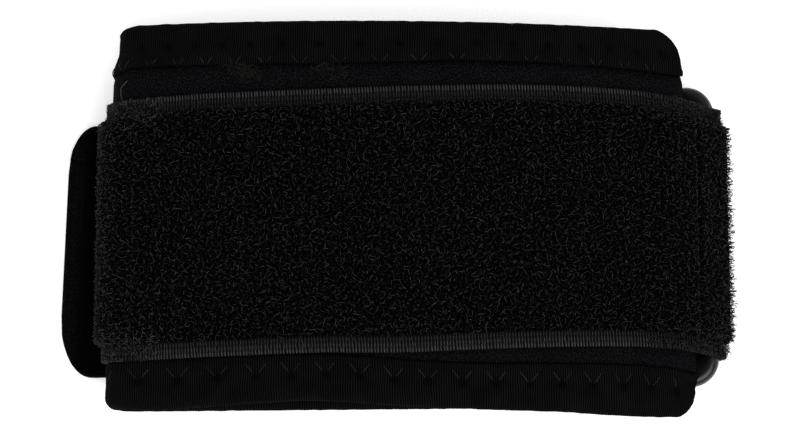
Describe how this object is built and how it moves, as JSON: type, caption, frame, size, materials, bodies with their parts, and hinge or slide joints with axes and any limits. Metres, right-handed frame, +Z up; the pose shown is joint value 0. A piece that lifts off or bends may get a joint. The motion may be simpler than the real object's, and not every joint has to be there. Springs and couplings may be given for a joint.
{
  "type": "tennis elbow strap",
  "caption": "Black neoprene forearm band fastened into a flat loop, with a brushed loop strap run through a plastic ring and a hook patch on its tail.",
  "frame": {"origin": "on the table, under the middle of the part's bounding box", "axes": "+X along the flattened loop from the tail towards the ring, +Y along the forearm, +Z up from the table"},
  "size_m": [0.1296, 0.0762, 0.0256],
  "materials": {
    "neoprene": "smooth knit face on closed-cell foam",
    "knit_binding": "rib knit tape",
    "loop_pile": "brushed loop pile on a woven ground",
    "hook_tape": "fine woven hooks",
    "moulded_plastic": "satin moulded"
  },
  "bodies": {
    "root": {"sleeve": "neoprene", "upper_binding": "knit_binding", "lower_binding": "knit_binding", "strap": "loop_pile", "hook_tab": "hook_tape", "ring": "moulded_plastic"}
  },
  "joints": []
}
